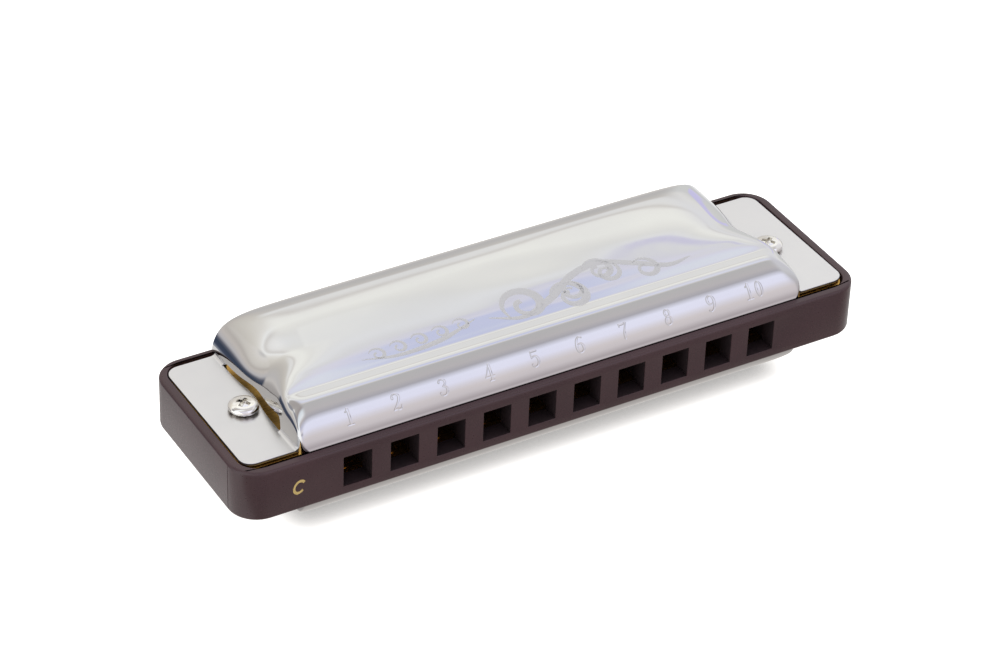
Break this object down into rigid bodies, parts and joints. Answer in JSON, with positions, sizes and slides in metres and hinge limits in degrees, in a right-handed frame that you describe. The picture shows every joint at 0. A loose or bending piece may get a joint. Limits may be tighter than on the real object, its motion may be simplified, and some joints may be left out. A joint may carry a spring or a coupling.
{
  "type": "diatonic harmonica",
  "caption": "Hand-held diatonic harmonica: plastic comb with square mouth holes, brass reed plates with hinged reeds, and two chromed covers held by end screws.",
  "frame": {"origin": "centre of the comb, which is the centre of the whole harmonica", "axes": "+X along the comb from hole 1 to hole 10, +Y from the mouth holes to the back, +Z from the lower cover to the upper cover"},
  "size_m": [0.1036, 0.03, 0.0226],
  "materials": {
    "comb_plastic": "moulded dark plum-brown plastic, satin gloss",
    "cover_chrome": "bright chrome plating with etched frosted ornament and numbers",
    "plate_brass": "rolled brass, finely brushed",
    "reed_brass": "milled brass with file marks",
    "rivet_brass": "peened brass",
    "screw_steel": "nickel-plated steel, polished",
    "nut_steel": "nickel-plated steel, turned faces",
    "plate_screw_steel": "zinc-plated steel"
  },
  "bodies": {
    "harmonica": {"comb": "comb_plastic", "upper_reed_plate": "plate_brass", "lower_reed_plate": "plate_brass", "blow_rivet_1": "rivet_brass", "blow_rivet_2": "rivet_brass", "blow_rivet_3": "rivet_brass", "blow_rivet_4": "rivet_brass", "blow_rivet_5": "rivet_brass", "blow_rivet_6": "rivet_brass", "blow_rivet_7": "rivet_brass", "blow_rivet_8": "rivet_brass", "blow_rivet_9": "rivet_brass", "blow_rivet_10": "rivet_brass", "draw_rivet_1": "rivet_brass", "draw_rivet_2": "rivet_brass", "draw_rivet_3": "rivet_brass", "draw_rivet_4": "rivet_brass", "draw_rivet_5": "rivet_brass", "draw_rivet_6": "rivet_brass", "draw_rivet_7": "rivet_brass", "draw_rivet_8": "rivet_brass", "draw_rivet_9": "rivet_brass", "draw_rivet_10": "rivet_brass", "upper_cover": "cover_chrome", "lower_cover": "cover_chrome", "cover_screw_left": "screw_steel", "cover_nut_left": "nut_steel", "cover_screw_right": "screw_steel", "cover_nut_right": "nut_steel", "upper_plate_screw_1": "plate_screw_steel", "upper_plate_screw_2": "plate_screw_steel", "upper_plate_screw_3": "plate_screw_steel", "upper_plate_screw_4": "plate_screw_steel", "upper_plate_screw_5": "plate_screw_steel", "lower_plate_screw_1": "plate_screw_steel", "lower_plate_screw_2": "plate_screw_steel", "lower_plate_screw_3": "plate_screw_steel", "lower_plate_screw_4": "plate_screw_steel", "lower_plate_screw_5": "plate_screw_steel"},
    "blow_tongue_1": {"blow_reed_1": "reed_brass"},
    "blow_tongue_2": {"blow_reed_2": "reed_brass"},
    "blow_tongue_3": {"blow_reed_3": "reed_brass"},
    "blow_tongue_4": {"blow_reed_4": "reed_brass"},
    "blow_tongue_5": {"blow_reed_5": "reed_brass"},
    "blow_tongue_6": {"blow_reed_6": "reed_brass"},
    "blow_tongue_7": {"blow_reed_7": "reed_brass"},
    "blow_tongue_8": {"blow_reed_8": "reed_brass"},
    "blow_tongue_9": {"blow_reed_9": "reed_brass"},
    "blow_tongue_10": {"blow_reed_10": "reed_brass"},
    "draw_tongue_1": {"draw_reed_1": "reed_brass"},
    "draw_tongue_2": {"draw_reed_2": "reed_brass"},
    "draw_tongue_3": {"draw_reed_3": "reed_brass"},
    "draw_tongue_4": {"draw_reed_4": "reed_brass"},
    "draw_tongue_5": {"draw_reed_5": "reed_brass"},
    "draw_tongue_6": {"draw_reed_6": "reed_brass"},
    "draw_tongue_7": {"draw_reed_7": "reed_brass"},
    "draw_tongue_8": {"draw_reed_8": "reed_brass"},
    "draw_tongue_9": {"draw_reed_9": "reed_brass"},
    "draw_tongue_10": {"draw_reed_10": "reed_brass"}
  },
  "joints": [
    {"name": "blow_reed_1_swing", "type": "hinge", "parent": "harmonica", "child": "blow_tongue_1", "pos_m": [-0.03375, 0.0059, 0.00236], "axis": [1, 0, 0], "range_deg": [-3, 3], "stiffness_Nm_per_rad": 0.014},
    {"name": "blow_reed_2_swing", "type": "hinge", "parent": "harmonica", "child": "blow_tongue_2", "pos_m": [-0.02625, 0.00523, 0.00236], "axis": [1, 0, 0], "range_deg": [-2.91, 2.91], "stiffness_Nm_per_rad": 0.014},
    {"name": "blow_reed_3_swing", "type": "hinge", "parent": "harmonica", "child": "blow_tongue_3", "pos_m": [-0.01875, 0.00457, 0.00236], "axis": [1, 0, 0], "range_deg": [-2.82, 2.82], "stiffness_Nm_per_rad": 0.014},
    {"name": "blow_reed_4_swing", "type": "hinge", "parent": "harmonica", "child": "blow_tongue_4", "pos_m": [-0.01125, 0.0039, 0.00236], "axis": [1, 0, 0], "range_deg": [-2.73, 2.73], "stiffness_Nm_per_rad": 0.014},
    {"name": "blow_reed_5_swing", "type": "hinge", "parent": "harmonica", "child": "blow_tongue_5", "pos_m": [-0.00375, 0.00323, 0.00236], "axis": [1, 0, 0], "range_deg": [-2.64, 2.64], "stiffness_Nm_per_rad": 0.014},
    {"name": "blow_reed_6_swing", "type": "hinge", "parent": "harmonica", "child": "blow_tongue_6", "pos_m": [0.00375, 0.00257, 0.00236], "axis": [1, 0, 0], "range_deg": [-2.56, 2.56], "stiffness_Nm_per_rad": 0.014},
    {"name": "blow_reed_7_swing", "type": "hinge", "parent": "harmonica", "child": "blow_tongue_7", "pos_m": [0.01125, 0.0019, 0.00236], "axis": [1, 0, 0], "range_deg": [-2.47, 2.47], "stiffness_Nm_per_rad": 0.014},
    {"name": "blow_reed_8_swing", "type": "hinge", "parent": "harmonica", "child": "blow_tongue_8", "pos_m": [0.01875, 0.00123, 0.00236], "axis": [1, 0, 0], "range_deg": [-2.38, 2.38], "stiffness_Nm_per_rad": 0.014},
    {"name": "blow_reed_9_swing", "type": "hinge", "parent": "harmonica", "child": "blow_tongue_9", "pos_m": [0.02625, 0.00057, 0.00236], "axis": [1, 0, 0], "range_deg": [-2.29, 2.29], "stiffness_Nm_per_rad": 0.014},
    {"name": "blow_reed_10_swing", "type": "hinge", "parent": "harmonica", "child": "blow_tongue_10", "pos_m": [0.03375, -0.0001, 0.00236], "axis": [1, 0, 0], "range_deg": [-2.2, 2.2], "stiffness_Nm_per_rad": 0.014},
    {"name": "draw_reed_1_swing", "type": "hinge", "parent": "harmonica", "child": "draw_tongue_1", "pos_m": [-0.03375, -0.0102, -0.0039], "axis": [-1, 0, 0], "range_deg": [-3, 3], "stiffness_Nm_per_rad": 0.014},
    {"name": "draw_reed_2_swing", "type": "hinge", "parent": "harmonica", "child": "draw_tongue_2", "pos_m": [-0.02625, -0.0102, -0.0039], "axis": [-1, 0, 0], "range_deg": [-2.91, 2.91], "stiffness_Nm_per_rad": 0.014},
    {"name": "draw_reed_3_swing", "type": "hinge", "parent": "harmonica", "child": "draw_tongue_3", "pos_m": [-0.01875, -0.0102, -0.0039], "axis": [-1, 0, 0], "range_deg": [-2.82, 2.82], "stiffness_Nm_per_rad": 0.014},
    {"name": "draw_reed_4_swing", "type": "hinge", "parent": "harmonica", "child": "draw_tongue_4", "pos_m": [-0.01125, -0.0102, -0.0039], "axis": [-1, 0, 0], "range_deg": [-2.73, 2.73], "stiffness_Nm_per_rad": 0.014},
    {"name": "draw_reed_5_swing", "type": "hinge", "parent": "harmonica", "child": "draw_tongue_5", "pos_m": [-0.00375, -0.0102, -0.0039], "axis": [-1, 0, 0], "range_deg": [-2.64, 2.64], "stiffness_Nm_per_rad": 0.014},
    {"name": "draw_reed_6_swing", "type": "hinge", "parent": "harmonica", "child": "draw_tongue_6", "pos_m": [0.00375, -0.0102, -0.0039], "axis": [-1, 0, 0], "range_deg": [-2.56, 2.56], "stiffness_Nm_per_rad": 0.014},
    {"name": "draw_reed_7_swing", "type": "hinge", "parent": "harmonica", "child": "draw_tongue_7", "pos_m": [0.01125, -0.0102, -0.0039], "axis": [-1, 0, 0], "range_deg": [-2.47, 2.47], "stiffness_Nm_per_rad": 0.014},
    {"name": "draw_reed_8_swing", "type": "hinge", "parent": "harmonica", "child": "draw_tongue_8", "pos_m": [0.01875, -0.0102, -0.0039], "axis": [-1, 0, 0], "range_deg": [-2.38, 2.38], "stiffness_Nm_per_rad": 0.014},
    {"name": "draw_reed_9_swing", "type": "hinge", "parent": "harmonica", "child": "draw_tongue_9", "pos_m": [0.02625, -0.0102, -0.0039], "axis": [-1, 0, 0], "range_deg": [-2.29, 2.29], "stiffness_Nm_per_rad": 0.014},
    {"name": "draw_reed_10_swing", "type": "hinge", "parent": "harmonica", "child": "draw_tongue_10", "pos_m": [0.03375, -0.0102, -0.0039], "axis": [-1, 0, 0], "range_deg": [-2.2, 2.2], "stiffness_Nm_per_rad": 0.014}
  ]
}
